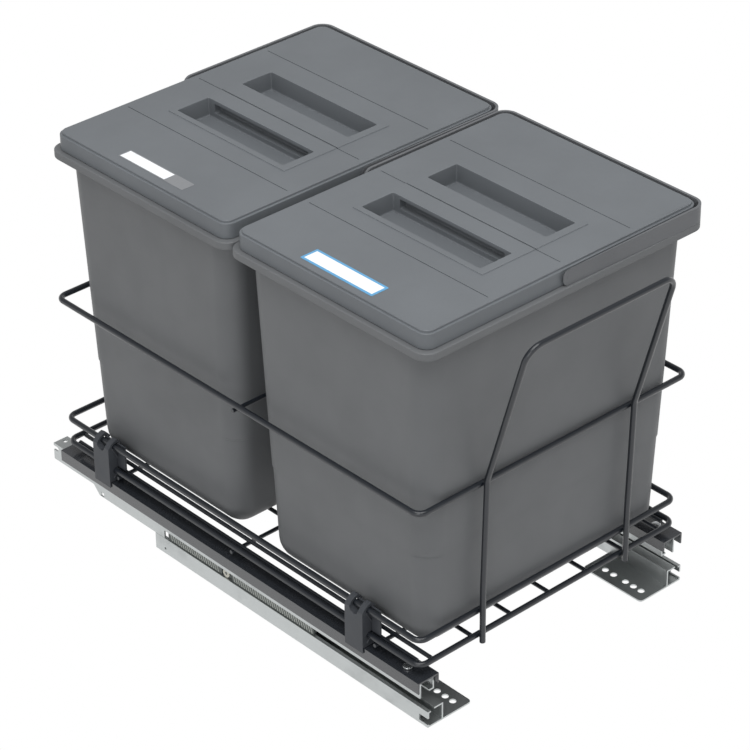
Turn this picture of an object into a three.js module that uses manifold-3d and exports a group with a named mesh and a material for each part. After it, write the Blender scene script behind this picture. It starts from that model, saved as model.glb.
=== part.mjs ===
// Pull-out waste sorter: two lidded bins in a wire basket that rides on full-extension runners.
// Millimetres, +Z up, +X to the right, the front towards -Y, standing on z = 0.
import * as THREE from 'three';
import { mergeVertices } from 'three/addons/utils/BufferGeometryUtils.js';
import Module from 'manifold-3d';

const wasm = await Module();
wasm.setup();

// ---------------------------------------------------------------- driving dimensions

const gap = 0.3; // between neighbouring pieces
const reach = 5; // how far a cutting tool runs past what it cuts

// Bins
const binWidth = 329.6; // across the rim, X
const binDepth = 245.2; // across the rim, Y
const binHeight = 316.8;
const binSpacing = 0.8; // between the rims of the two bins
const binWall = 2.5;
const binDraft = 0.0326; // the walls lean out this much for each millimetre of height
const binCorner = 26;
const binFootRadius = 23; // rounding between the floor and the walls
const rimOverhang = 10.5;
const rimHeight = 7.3;
const rimCorner = 14;

// Lids
const lidSkirt = 14.7;
const lidStep = 2; // rise from the shoulder to the panel
const lidStepInset = 1.35;
const lidWall = 2.5;
const lidCorner = 11;
const lidRibDrop = 4.5; // how far the locating rib reaches into the bin
const lidRibThickness = 2;
const lidRibPlay = 0.6;
const fieldWidth = 124; // slightly raised field round the pockets
const fieldFront = 80.5;
const fieldRear = 77;
const fieldRise = 0.8;
const pocketLength = 144;
const pocketDepth = 18;
const pocketWall = 2.2;
const pocketGripSide = { from: -56, to: -19.5 };
const pocketPlainSide = { from: 20.4, to: 55.5 };
const gripUndercut = 8;
const gripSill = 5;
const gripEndInset = 8;
const grooveWidth = 1.2;
const grooveDepth = 0.6;
const grooveOffset = 83;
const grooveInset = 6.5; // from the panel's edge
const labelThickness = 0.4;
const frontLabel = { inset: 9.15, width: 19.5, y0: -43.5, y1: 44 }; // inset from the skirt
const rearLabel = { inset: 11.65, width: 14.5, y0: -46, y1: 41.5 };

// Bails and their pivots
const bailBand = 15.8;
const bailThickness = 2.5;
const earThickness = 2.05;
const earRadius = 5.6;
const earNeck = 3.4; // half the width of an ear's foot
const earRoot = 1.6; // how far an ear sinks into the rim
const pivotDiameter = 6;
const pivotPlay = 0.1; // on the radius

// Wire basket
const loopWire = 5.5;
const thinWire = 4;
const basketLift = 8.85; // from the channels' top to the underside of the lower loop
const loopRise = 26; // from the lower to the upper base loop
const midLoopRise = 158.9; // from the lower base loop to the mid loop
const baseGap = { side: 13.15, front: 5.05, rear: 28.5 }; // from a bin's wall to the wire's middle
const midGap = { side: 12.15, front: 4.05, rear: 21.9 };
const loopCorner = 9;
const sideRodInset = 6.05; // from the middle of the loop's wire to the side rod
const floorWireInset = 17.35; // from the middle of the loop's wire to the first floor wire
const floorWireCount = 7;
const crossWirePlaces = [-177.4, 13.7, 177];
const crossWireOverhang = 3; // past the middle of a loop's wire

// Pull handle and rear uprights
const handleWidth = 178;
const handleTaper = 2; // each leg leans in by this much at the top
const handleHeight = 368;
const handleReach = 42.5; // from the mid loop's crossing out to the bar
const handleBendRadius = 15;
const wireDrop = 2.7; // an upright's end below the lower loop
const straightRise = 50; // straight part of a leg above the lower loop

// Runners
const sheet = 1.6;
const profileWidth = 18;
const profileHeight = 16.8;
const innerWallRise = 1.8; // of the inner wall over the outer one
const innerLip = 10.5; // top lips of the fixed profile
const outerLip = 3.6;
const railLength = 369;
const plateReach = 34.2; // the mounting plate beyond the profile
const frontPlateLength = 73;
const rearPlateLength = 70;
const plateCorner = 4;
const plateHole = 6.5;
const plateHoleInset = 12.2;
const frontPlateHoles = [11, 20.5, 30.5, 45.5, 56]; // from the rail's front end
const rearPlateHoles = [17, 52]; // from the rail's rear end
const notchLength = 11;
const notchBottom = 3;
const notchTop = 9.5;
const rearHole = { diameter: 2.6, fromEnd: 14, height: 5.5 };
const channelWidth = 24.2;
const channelHeight = 11.5;
const channelInnerShort = 1; // the inner wall ends this much higher
const channelOutside = 6.4; // from the base loops' wire out to the channel's face
const channelFrontOverhang = 5.5;
const channelRearOverhang = 5.7;
const railFrontOverhang = 5.6;
const midHeight = 18; // intermediate rail, outer wall
const midInnerHeight = 15;
const midPlay = 0.4; // beside the channel's inner wall
const midWidth = 16.7;
const midFlange = 5.8;
const midFrontInset = 4; // behind the channel's front end
const midRearOverhang = 19;
const midRearNotch = { depth: 7.5, width: 4.6, below: 2.8 }; // in the outer wall, below the top
const midRearHole = { diameter: 4.4, fromEnd: 5.6, fromOuter: 10 };
const railInset = 0.4; // the fixed profile's outer wall inside the intermediate rail's
const keel = { front: -92, rear: 110, bottom: 4, foot: 7.7 };
const rearSkirt = { front: 113, rear: 218, corner: 8, hole: 4.4, holeAt: 205.6, holeRise: 3 };
const rollerDiameter = 8.6;
const rollerBore = 3.2;
const rollerPin = 2.6;
const rollerAt = 27;
const lowerCage = { front: -93, rear: 109.5, bridge: 0.6, windowFront: 18, windowRear: 33 };
const upperCage = { front: -110, rear: 140, top: 0.8, side: 3.3, height: 8.1 };

// Brackets between the channels and the basket
const bracketDepth = 23;
const bracketPlaces = { front: -156, rear: 194.5 };
const bracketSkin = 1; // over the channel's outer wall
const bracketSkirt = 5; // how far that skin reaches down
const bracketFoot = 15; // width of the foot
// The hook over the upper loop: in from the bracket's outer face, and up from the wire's middle.
const hookBack = [[0, -0.6], [1.4, 1], [3.8, 4], [7.3, 6], [10.8, 6.9], [14.2, 4.1], [16.5, 0.8]];
const hookTip = { inset: 15.2, rise: -0.3, root: 13.2 };
const notchWidth = 11;
const notchFloor = 5.4; // the notch's bottom below the middle of the upper loop
const pegDiameter = 6;
const clipThickness = 1.8;
const clipReach = { front: 22.5, rear: 7 }; // from the bracket's middle
const screwHead = { diameter: 8, height: 2.4 };
const screwCrown = { rise: 0.84, rim: 0.17, width: 0.8 }; // rounding of a screw's head
const screwShank = 4;
const screwDepth = 5;
const channelScrew = { head: 9, height: 2.4, shank: 4, at: -213, fromOuter: 9.6 };

// ---------------------------------------------------------------- derived heights, from the floor up

const rollerBottom = profileHeight + gap;
const midBottom = rollerBottom + rollerDiameter + gap;
const midTop = midBottom + midHeight;
const channelTop = midTop + gap + upperCage.top + gap + sheet;
const lowerLoopZ = channelTop + basketLift + loopWire / 2;
const upperLoopZ = lowerLoopZ + loopRise;
const midLoopZ = lowerLoopZ + midLoopRise;
const crossWireZ = lowerLoopZ - loopWire / 2 - gap - thinWire / 2;
const floorWireZ = crossWireZ + thinWire + gap;
const binBottom = floorWireZ + thinWire / 2 + gap;
const rimTop = binBottom + binHeight;
const rimBottom = rimTop - rimHeight;
const lidBottom = rimTop + gap;
const shoulderZ = lidBottom + lidSkirt;
const panelZ = shoulderZ + lidStep;
const bailZ = rimTop + bailBand / 2;

// ---------------------------------------------------------------- derived plan sizes

const rimHalf = { x: binWidth / 2, y: binDepth / 2 };
const binPitch = binDepth + binSpacing;
const binPlaces = { front: -binPitch / 2, rear: binPitch / 2 };
const wallInset = (z) => rimOverhang + binDraft * (rimBottom - z);
const wallX = (z) => rimHalf.x - wallInset(z);
const wallY = (z) => rimHalf.y - wallInset(z);

const ledge = gap + earThickness + gap + bailThickness;
const skirtHalf = { x: rimHalf.x - ledge, y: rimHalf.y - ledge };
const openingHalf = { x: wallX(rimBottom) - binWall, y: wallY(rimBottom) - binWall };

const baseLoop = {
  x: wallX(upperLoopZ) + baseGap.side,
  front: binPlaces.front - wallY(upperLoopZ) - baseGap.front,
  rear: binPlaces.rear + wallY(upperLoopZ) + baseGap.rear,
};
const midLoop = {
  x: wallX(midLoopZ) + midGap.side,
  front: binPlaces.front - wallY(midLoopZ) - midGap.front,
  rear: binPlaces.rear + wallY(midLoopZ) + midGap.rear,
};

const channelOuter = baseLoop.x + channelOutside;
const channelInner = channelOuter - channelWidth;
const channelFront = baseLoop.front - channelFrontOverhang;
const channelRear = baseLoop.rear + channelRearOverhang;
const midInner = channelInner + sheet + midPlay;
const midOuter = midInner + midWidth;
const midRear = channelRear + midRearOverhang;
const railOuter = midOuter - railInset;
const railInner = railOuter - profileWidth;
const railFront = channelFront - railFrontOverhang;
const railRear = railFront + railLength;

const handleBarY = midLoop.front - loopWire - gap - handleReach;
const middleY = (handleBarY - loopWire / 2 + midRear) / 2;

// ---------------------------------------------------------------- materials

const paint = (color, roughness, metalness) =>
  new THREE.MeshStandardMaterial({ color, roughness, metalness });
const lidPlastic = paint(0x7b7e80, 0.5, 0);
const binPlastic = paint(0x66686b, 0.55, 0);
const bailPlastic = paint(0x75787b, 0.5, 0);
const bracketPlastic = paint(0x53565b, 0.55, 0);
const labelFilm = paint(0xe9edf0, 0.3, 0);
const wireCoat = paint(0x2c3239, 0.4, 0.2);
const channelPaint = paint(0x44474d, 0.45, 0.3);
const zincPlate = paint(0xb4b9b9, 0.35, 0.9);
const steel = paint(0xa8adb0, 0.3, 0.95);
const cagePlastic = paint(0x8b908a, 0.6, 0);
const rollerPlastic = paint(0xd9d8cc, 0.4, 0);

// ---------------------------------------------------------------- solid helpers

function toSolid(geometry) {
  const bare = new THREE.BufferGeometry();
  bare.setAttribute('position', geometry.getAttribute('position'));
  bare.setIndex(geometry.getIndex());
  const merged = mergeVertices(bare, 1e-4);
  return new wasm.Manifold(new wasm.Mesh({
    numProp: 3,
    vertProperties: new Float32Array(merged.getAttribute('position').array),
    triVerts: new Uint32Array(merged.getIndex().array),
  }));
}

function toGeometry(solid) {
  const mesh = solid.getMesh();
  const geometry = new THREE.BufferGeometry();
  geometry.setAttribute('position', new THREE.BufferAttribute(mesh.vertProperties, 3));
  geometry.setIndex(new THREE.BufferAttribute(mesh.triVerts, 1));
  return geometry;
}

function join(first, ...others) {
  return toGeometry(others.reduce((sum, other) => sum.add(toSolid(other)), toSolid(first)));
}

function cut(body, ...tools) {
  return toGeometry(tools.reduce((rest, tool) => rest.subtract(toSolid(tool)), toSolid(body)));
}

function common(first, second) {
  return toGeometry(toSolid(first).intersect(toSolid(second)));
}

// A box between two corners, given in any order.
function box(x0, x1, y0, y1, z0, z1) {
  return new THREE.BoxGeometry(Math.abs(x1 - x0), Math.abs(y1 - y0), Math.abs(z1 - z0))
    .translate((x0 + x1) / 2, (y0 + y1) / 2, (z0 + z1) / 2);
}

const shapeOf = (points) => new THREE.Shape(points.map(([x, y]) => new THREE.Vector2(x, y)));

// An outline in X and Z, run along Y.
function runY(shape, y0, y1, curveSegments = 8) {
  const depth = y1 - y0;
  return new THREE.ExtrudeGeometry(shape, { depth, bevelEnabled: false, curveSegments })
    .rotateX(Math.PI / 2).translate(0, y1, 0);
}

// An outline in Y and Z, run along X.
function runX(shape, x0, x1, curveSegments = 8) {
  const depth = Math.abs(x1 - x0);
  return new THREE.ExtrudeGeometry(shape, { depth, bevelEnabled: false, curveSegments })
    .rotateX(Math.PI / 2).rotateZ(Math.PI / 2).translate(Math.min(x0, x1), 0, 0);
}

// An outline in X and Y, raised along Z.
function runZ(shape, z0, z1, curveSegments = 8) {
  const depth = z1 - z0;
  return new THREE.ExtrudeGeometry(shape, { depth, bevelEnabled: false, curveSegments })
    .translate(0, 0, z0);
}

function rodX(x0, x1, y, z, diameter, sides = 12) {
  return new THREE.CylinderGeometry(diameter / 2, diameter / 2, Math.abs(x1 - x0), sides)
    .rotateZ(Math.PI / 2).translate((x0 + x1) / 2, y, z);
}

function rodY(x, y0, y1, z, diameter, sides = 12) {
  return new THREE.CylinderGeometry(diameter / 2, diameter / 2, Math.abs(y1 - y0), sides)
    .translate(x, (y0 + y1) / 2, z);
}

function rodZ(x, y, z0, z1, diameter, sides = 12) {
  return new THREE.CylinderGeometry(diameter / 2, diameter / 2, z1 - z0, sides)
    .rotateX(Math.PI / 2).translate(x, y, (z0 + z1) / 2);
}

// The outline of a bent sheet: a run of square corners, with the thickness laid on its left.
function bentSheet(points, thickness) {
  const offset = points.map((point, i) => {
    const shift = [0, 0];
    for (const [from, to] of [[points[i - 1], point], [point, points[i + 1]]]) {
      if (!from || !to) continue;
      const length = Math.hypot(to[0] - from[0], to[1] - from[1]);
      shift[0] -= (to[1] - from[1]) / length * thickness;
      shift[1] += (to[0] - from[0]) / length * thickness;
    }
    return [point[0] + shift[0], point[1] + shift[1]];
  });
  return [...points, ...offset.reverse()];
}

// The same outline on the left or the right runner.
const onSide = (side, points) => shapeOf(points.map(([x, z]) => [side * x, z]));

// One level of a tapering vessel: a rectangle with round corners, the same points on each level.
const cornerSteps = 6;
function level(halfX, halfY, radius, z) {
  const points = [];
  for (let quarter = 0; quarter < 4; quarter++) {
    const signX = quarter === 0 || quarter === 3 ? 1 : -1;
    const signY = quarter < 2 ? 1 : -1;
    for (let step = 0; step <= cornerSteps; step++) {
      const angle = (quarter + step / cornerSteps) * Math.PI / 2;
      points.push(new THREE.Vector3(
        signX * (halfX - radius) + radius * Math.cos(angle),
        signY * (halfY - radius) + radius * Math.sin(angle),
        z,
      ));
    }
  }
  return points;
}

// A closed vessel through its levels, from the middle of the underside round to the inside.
function vessel(levels) {
  const count = levels[0].length;
  const index = [];
  for (let row = 0; row + 1 < levels.length; row++) {
    for (let i = 0; i < count; i++) {
      const a = row * count + i;
      const b = row * count + (i + 1) % count;
      index.push(a, b, b + count, a, b + count, a + count);
    }
  }
  const last = (levels.length - 1) * count;
  for (let i = 1; i + 1 < count; i++) {
    index.push(0, i + 1, i, last, last + i, last + i + 1);
  }
  return new THREE.BufferGeometry().setFromPoints(levels.flat()).setIndex(index);
}

// A wire's route: its points are the places of the tube's rings.
class Route extends THREE.Curve {
  constructor(points) {
    super();
    this.points = points;
  }

  getPoint(t, target = new THREE.Vector3()) {
    const place = t * (this.points.length - 1);
    const i = Math.min(Math.floor(place), this.points.length - 2);
    return target.lerpVectors(this.points[i], this.points[i + 1], place - i);
  }

  getPointAt(u, target) {
    return this.getPoint(u, target);
  }

  getTangentAt(u, target) {
    return this.getTangent(u, target);
  }
}

// Rounds one corner of a route with an arc of the given radius.
const bendSteps = 6;
function bend(before, corner, after, radius) {
  const back = before.clone().sub(corner).normalize();
  const on = after.clone().sub(corner).normalize();
  const half = back.angleTo(on) / 2;
  const turn = Math.PI - 2 * half;
  const steps = Math.max(2, Math.ceil(bendSteps * turn / (Math.PI / 2)));
  const bisector = back.clone().add(on).normalize();
  const centre = corner.clone().addScaledVector(bisector, radius / Math.sin(half));
  const start = corner.clone().addScaledVector(back, radius / Math.tan(half)).sub(centre);
  const axis = new THREE.Vector3().crossVectors(on, back).normalize();
  return Array.from({ length: steps + 1 }, (_, i) =>
    start.clone().applyAxisAngle(axis, turn * i / steps).add(centre));
}

// A wire's round section; an arc is drawn with two sides for each of its segments.
function roundSection(diameter, sides) {
  const section = new THREE.Shape();
  section.absarc(0, 0, diameter / 2, 0, 2 * Math.PI);
  return { section, curveSegments: sides / 2 };
}

// An open wire through its corners.
function wire(corners, diameter, radius = handleBendRadius, sides = 10) {
  const points = corners.map((corner) => new THREE.Vector3(...corner));
  const route = [points[0]];
  for (let i = 1; i + 1 < points.length; i++) {
    route.push(...bend(points[i - 1], points[i], points[i + 1], radius));
  }
  route.push(points.at(-1));
  const { section, curveSegments } = roundSection(diameter, sides);
  return new THREE.ExtrudeGeometry(section, {
    steps: route.length - 1, curveSegments, extrudePath: new Route(route),
  });
}

// A closed loop of wire in a level plane: the tube's two end faces meet and are left out.
function wireLoop(halfX, front, rear, z, diameter, radius, sides = 10) {
  const corners = [[halfX, front], [halfX, rear], [-halfX, rear], [-halfX, front]]
    .map(([x, y]) => new THREE.Vector3(x, y, z));
  const route = [new THREE.Vector3(0, front, z)];
  corners.forEach((corner, i) => {
    const before = i ? corners[i - 1] : route[0];
    const after = i < 3 ? corners[i + 1] : route[0];
    route.push(...bend(before, corner, after, radius));
  });
  route.push(route[0].clone());
  const { section, curveSegments } = roundSection(diameter, sides);
  const tube = new THREE.ExtrudeGeometry(section, {
    steps: route.length - 1, curveSegments, extrudePath: new Route(route),
  });
  const { start, count } = tube.groups.find((group) => group.materialIndex === 1);
  const wall = tube.getAttribute('position').array.slice(3 * start, 3 * (start + count));
  return new THREE.BufferGeometry().setAttribute('position', new THREE.BufferAttribute(wall, 3));
}

// ---------------------------------------------------------------- scene graph

const sorter = new THREE.Group();
sorter.position.y = -middleY;

function add(name, geometry, material) {
  const mesh = new THREE.Mesh(toGeometry(toSolid(geometry)), material);
  mesh.name = name;
  sorter.add(mesh);
}

// ---------------------------------------------------------------- bins

function binBody() {
  const levels = [];
  const footSteps = 4;
  for (let i = 0; i <= footSteps; i++) {
    const angle = i / footSteps * Math.PI / 2;
    const z = binBottom + binFootRadius * (1 - Math.cos(angle));
    const inset = binFootRadius * (1 - Math.sin(angle));
    levels.push(level(wallX(z) - inset, wallY(z) - inset, binCorner - inset, z));
  }
  levels.push(level(wallX(rimBottom), wallY(rimBottom), binCorner, rimBottom));
  levels.push(level(rimHalf.x, rimHalf.y, rimCorner, rimBottom));
  levels.push(level(rimHalf.x, rimHalf.y, rimCorner, rimTop));
  levels.push(level(openingHalf.x, openingHalf.y, binCorner - binWall, rimTop));
  for (let i = footSteps; i >= 0; i--) {
    const angle = i / footSteps * Math.PI / 2;
    const radius = binFootRadius - binWall;
    const z = binBottom + binWall + radius * (1 - Math.cos(angle));
    const inset = radius * (1 - Math.sin(angle)) + binWall;
    levels.push(level(wallX(z) - inset, wallY(z) - inset, binCorner - inset, z));
  }
  return vessel(levels);
}

function binEar(end) {
  const near = end * (skirtHalf.y + gap);
  const far = end * (skirtHalf.y + gap + earThickness);
  const ear = join(
    box(-earNeck, earNeck, near, far, rimTop - earRoot, bailZ),
    rodY(0, near, far, bailZ, 2 * earRadius, 24),
  );
  const bore = pivotDiameter + 2 * pivotPlay;
  const hole = rodY(0, near - reach * end, far + reach * end, bailZ, bore, 24);
  return cut(ear, hole);
}

function bin(place) {
  return join(binBody(), binEar(-1), binEar(1)).translate(0, place, 0);
}

// ---------------------------------------------------------------- lids

function lidShell() {
  const panel = { x: skirtHalf.x - lidStepInset, y: skirtHalf.y - lidStepInset };
  const ribOuter = { x: openingHalf.x - lidRibPlay, y: openingHalf.y - lidRibPlay };
  const ribCorner = binCorner - binWall - lidRibPlay;
  const ribFoot = rimTop - lidRibDrop;
  const at = (half, inset, corner, z) => level(half.x - inset, half.y - inset, corner - inset, z);
  return vessel([
    at(ribOuter, lidRibThickness, ribCorner, panelZ - lidWall),
    at(ribOuter, lidRibThickness, ribCorner, ribFoot),
    at(ribOuter, 0, ribCorner, ribFoot),
    at(ribOuter, 0, ribCorner, shoulderZ - lidWall),
    at(skirtHalf, lidWall, lidCorner, shoulderZ - lidWall),
    at(skirtHalf, lidWall, lidCorner, lidBottom),
    at(skirtHalf, 0, lidCorner, lidBottom),
    at(skirtHalf, 0, lidCorner, shoulderZ),
    at(panel, 0, lidCorner - lidStepInset, shoulderZ),
    at(panel, 0, lidCorner - lidStepInset, panelZ),
  ]);
}

function lidPocket({ from, to }, undercut) {
  const top = panelZ + fieldRise;
  const floor = top - pocketDepth;
  const end = pocketLength / 2;
  const housing = [
    box(from - pocketWall, to + pocketWall, -end - pocketWall, end + pocketWall,
      floor - pocketWall, panelZ - lidWall / 2),
  ];
  const hollow = [box(from, to, -end, end, floor, top + reach)];
  if (undercut) {
    const sill = floor + gripSill;
    const side = end - gripEndInset;
    housing.push(box(to, to + undercut + pocketWall, -side - pocketWall, side + pocketWall,
      sill - pocketWall, panelZ - lidWall / 2));
    hollow.push(box(to - gap, to + undercut, -side, side, sill, panelZ - lidWall));
  }
  return { housing, hollow };
}

function lid(place) {
  const field = box(-fieldWidth / 2, fieldWidth / 2, -fieldFront, fieldRear,
    panelZ - lidWall / 2, panelZ + fieldRise);
  const grip = lidPocket(pocketGripSide, gripUndercut);
  const plain = lidPocket(pocketPlainSide, 0);
  const grooveEnd = skirtHalf.y - lidStepInset - grooveInset;
  const grooves = [-grooveOffset, 0, grooveOffset].map((x) =>
    box(x - grooveWidth / 2, x + grooveWidth / 2, -grooveEnd, grooveEnd,
      panelZ - grooveDepth, panelZ + reach));
  const solid = join(lidShell(), field, ...grip.housing, ...plain.housing);
  return cut(solid, ...grip.hollow, ...plain.hollow, ...grooves).translate(0, place, 0);
}

function label({ inset, width, y0, y1 }, place) {
  const x = inset - skirtHalf.x;
  const z = panelZ + gap;
  return box(x, x + width, y0, y1, z, z + labelThickness).translate(0, place, 0);
}

// ---------------------------------------------------------------- bails

// The band lies along the rim's right side and pivots on the ears about an axis along Y.
function bail(place) {
  const band = new THREE.Shape();
  const inner = { x: rimHalf.x - bailThickness, y: rimHalf.y - bailThickness };
  const innerCorner = rimCorner - bailThickness;
  const end = -bailBand;
  band.moveTo(end, -rimHalf.y);
  band.absarc(rimHalf.x - rimCorner, -rimHalf.y + rimCorner, rimCorner, -Math.PI / 2, 0);
  band.absarc(rimHalf.x - rimCorner, rimHalf.y - rimCorner, rimCorner, 0, Math.PI / 2);
  band.lineTo(end, rimHalf.y);
  band.lineTo(end, inner.y);
  band.absarc(inner.x - innerCorner, inner.y - innerCorner, innerCorner, Math.PI / 2, 0, true);
  band.absarc(inner.x - innerCorner, -inner.y + innerCorner, innerCorner, 0, -Math.PI / 2, true);
  band.lineTo(end, -inner.y);
  const radius = bailBand / 2;
  const profile = join(
    box(0, binWidth, -binDepth, binDepth, bailZ - radius, bailZ + radius),
    rodY(0, -binDepth, binDepth, bailZ, 2 * radius, 24),
  );
  const strap = common(runZ(band, bailZ - radius, bailZ + radius), profile);
  const studs = [-1, 1].map((side) =>
    rodY(0, side * (inner.y + gap), side * (skirtHalf.y + gap), bailZ, pivotDiameter, 24));
  return join(strap, ...studs).translate(0, place, 0);
}

for (const [end, place] of Object.entries(binPlaces)) {
  add(`${end}_bin`, bin(place), binPlastic);
  add(`${end}_lid`, lid(place), lidPlastic);
  add(`${end}_label`, label(end === 'front' ? frontLabel : rearLabel, place), labelFilm);
  add(`${end}_bail`, bail(place), bailPlastic);
}

// ---------------------------------------------------------------- wire basket

const loopBeside = loopWire + gap; // from wire to wire where two thick ones cross side by side
const baseLoopInside = loopWire / 2 + gap;

add('lower_base_loop',
  wireLoop(baseLoop.x, baseLoop.front, baseLoop.rear, lowerLoopZ, loopWire, loopCorner), wireCoat);
add('upper_base_loop',
  wireLoop(baseLoop.x, baseLoop.front, baseLoop.rear, upperLoopZ, loopWire, loopCorner), wireCoat);
add('mid_loop',
  wireLoop(midLoop.x, midLoop.front, midLoop.rear, midLoopZ, loopWire, loopCorner), wireCoat);

const floorWirePitch = 2 * (baseLoop.x - floorWireInset) / (floorWireCount - 1);
for (let i = 0; i < floorWireCount; i++) {
  const x = (i - (floorWireCount - 1) / 2) * floorWirePitch;
  const y0 = baseLoop.front + baseLoopInside;
  const y1 = baseLoop.rear - baseLoopInside;
  add(`floor_wire_${i + 1}`, rodY(x, y0, y1, floorWireZ, thinWire, 10), wireCoat);
}

for (const [name, side] of [['left', -1], ['right', 1]]) {
  const x = side * (baseLoop.x - sideRodInset);
  const y0 = baseLoop.front + loopCorner;
  const y1 = baseLoop.rear - loopCorner;
  add(`${name}_side_rod`, rodY(x, y0, y1, floorWireZ, thinWire, 10), wireCoat);
}

crossWirePlaces.forEach((y, i) => {
  const end = baseLoop.x + crossWireOverhang;
  add(`cross_wire_${i + 1}`, rodX(-end, end, y, crossWireZ, thinWire, 10), wireCoat);
});

const midCrossEnd = midLoop.x + crossWireOverhang;
const midCrossZ = midLoopZ - loopWire / 2 - gap - thinWire / 2;
add('mid_cross_wire', rodX(-midCrossEnd, midCrossEnd, 0, midCrossZ, thinWire, 10), wireCoat);

// ---------------------------------------------------------------- pull handle and rear uprights

const uprightFoot = lowerLoopZ - loopWire / 2 - wireDrop;
const uprightKnee = lowerLoopZ + straightRise;

function pullHandle() {
  const foot = baseLoop.front - loopBeside;
  const crossing = midLoop.front - loopBeside;
  const leg = (side) => [
    [side * handleWidth / 2, foot, uprightFoot],
    [side * handleWidth / 2, foot, uprightKnee],
    [side * handleWidth / 2, crossing, midLoopZ + loopWire],
    [side * (handleWidth / 2 - handleTaper), handleBarY, handleHeight],
  ];
  return wire([...leg(-1), ...leg(1).reverse()], loopWire);
}

function rearUpright(side) {
  const x = side * handleWidth / 2;
  return wire([
    [x, baseLoop.rear + loopBeside, uprightFoot],
    [x, baseLoop.rear + loopBeside, uprightKnee],
    [x, midLoop.rear + loopBeside, midLoopZ + loopWire],
  ], loopWire);
}

add('pull_handle', pullHandle(), wireCoat);
add('left_rear_upright', rearUpright(-1), wireCoat);
add('right_rear_upright', rearUpright(1), wireCoat);

// ---------------------------------------------------------------- runners

function fixedRail(side) {
  const profile = bentSheet([
    [railInner + innerLip, profileHeight + innerWallRise],
    [railInner, profileHeight + innerWallRise],
    [railInner, 0],
    [railOuter, 0],
    [railOuter, profileHeight],
    [railOuter - outerLip, profileHeight],
  ], sheet);
  const plate = (y0, y1) => {
    const edge = railInner - plateReach;
    const shape = new THREE.Shape();
    shape.moveTo(side * (railInner + sheet), y0);
    shape.lineTo(side * (edge + plateCorner), y0);
    shape.quadraticCurveTo(side * edge, y0, side * edge, y0 + plateCorner);
    shape.lineTo(side * edge, y1 - plateCorner);
    shape.quadraticCurveTo(side * edge, y1, side * (edge + plateCorner), y1);
    shape.lineTo(side * (railInner + sheet), y1);
    return runZ(shape, 0, sheet, 4);
  };
  const holeX = side * (railInner - plateReach + plateHoleInset);
  const holeAt = (y) => rodZ(holeX, y, -reach, reach, plateHole, 12);
  const blank = join(
    runY(onSide(side, profile), railFront, railRear),
    plate(railFront, railFront + frontPlateLength),
    plate(railRear - rearPlateLength, railRear),
  );
  return cut(
    blank,
    ...frontPlateHoles.map((offset) => holeAt(railFront + offset)),
    ...rearPlateHoles.map((offset) => holeAt(railRear - offset)),
    box(side * (railOuter - sheet - gap), side * (railOuter + reach),
      railFront - reach, railFront + notchLength, notchBottom, notchTop),
    rodX(side * (railOuter - reach), side * (railOuter + reach), railRear - rearHole.fromEnd,
      rearHole.height, rearHole.diameter, 8),
  );
}

const keelOuter = railOuter - outerLip - 2 * gap;
const midInnerBottom = midTop - midInnerHeight;

function intermediateRail(side) {
  const saddle = bentSheet([
    [midInner + midFlange, midInnerBottom],
    [midInner, midInnerBottom],
    [midInner, midTop],
    [midOuter, midTop],
    [midOuter, midBottom],
  ], -sheet);
  const keelWeb = bentSheet([
    [keelOuter - keel.foot, keel.bottom],
    [keelOuter, keel.bottom],
    [keelOuter, midInnerBottom + sheet],
    [midInner + sheet, midInnerBottom + sheet],
  ], sheet);
  const hole = rearSkirt.hole / 2;
  const holeZ = rollerBottom + rearSkirt.holeRise;
  const notchHalf = midRearNotch.width / 2;
  const notchZ = midTop - midRearNotch.below - notchHalf;
  const notchRoot = midRear - midRearNotch.depth + notchHalf;
  const acrossWall = [side * (midOuter - sheet - gap), side * (midOuter + reach)];
  const skirt = shapeOf([
    [rearSkirt.front, midBottom + sheet],
    [rearSkirt.front, rollerBottom + gap],
    [rearSkirt.rear - rearSkirt.corner, rollerBottom + gap],
    [rearSkirt.rear, midBottom - gap],
    [rearSkirt.rear, midBottom + sheet],
  ]);
  return cut(
    join(
      runY(onSide(side, saddle), channelFront + midFrontInset, midRear),
      runY(onSide(side, keelWeb), keel.front, keel.rear),
      box(side * (keelOuter - sheet), side * (midOuter - sheet / 2), keel.front, keel.rear,
        midBottom, midBottom + sheet),
      runX(skirt, side * midOuter, side * (midOuter - sheet)),
    ),
    box(side * (midOuter + reach), side * (midOuter - reach), rearSkirt.holeAt - hole,
      rearSkirt.holeAt + hole, holeZ - hole, holeZ + hole),
    rodX(...acrossWall, notchRoot, notchZ, midRearNotch.width, 16),
    box(...acrossWall, notchRoot, midRear + reach, notchZ - notchHalf, notchZ + notchHalf),
    rodZ(side * (midOuter - midRearHole.fromOuter), midRear - midRearHole.fromEnd, midTop - reach,
      midTop + reach, midRearHole.diameter, 16),
  );
}

const cageInner = keelOuter + 2 * gap;
const cageOuter = midOuter - sheet - gap; // it passes inside the rear skirt
const rollerZ = rollerBottom + rollerDiameter / 2;

function lowerCageBody(side) {
  const bar = box(side * cageInner, side * cageOuter, lowerCage.front, lowerCage.rear,
    rollerBottom, midBottom - gap);
  const bridge = cageInner + lowerCage.bridge;
  const window = box(side * bridge, side * (cageOuter + reach), lowerCage.windowFront,
    lowerCage.windowRear, rollerBottom - reach, midBottom + reach);
  const pin = rodX(side * (cageInner + gap), side * cageOuter, rollerAt, rollerZ, rollerPin, 12);
  return join(cut(bar, window), pin);
}

function roller(side) {
  const inner = cageInner + lowerCage.bridge + gap;
  return cut(
    rodX(side * inner, side * cageOuter, rollerAt, rollerZ, rollerDiameter, 24),
    rodX(side * (inner - reach), side * (cageOuter + reach), rollerAt, rollerZ, rollerBore, 12),
  );
}

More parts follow.
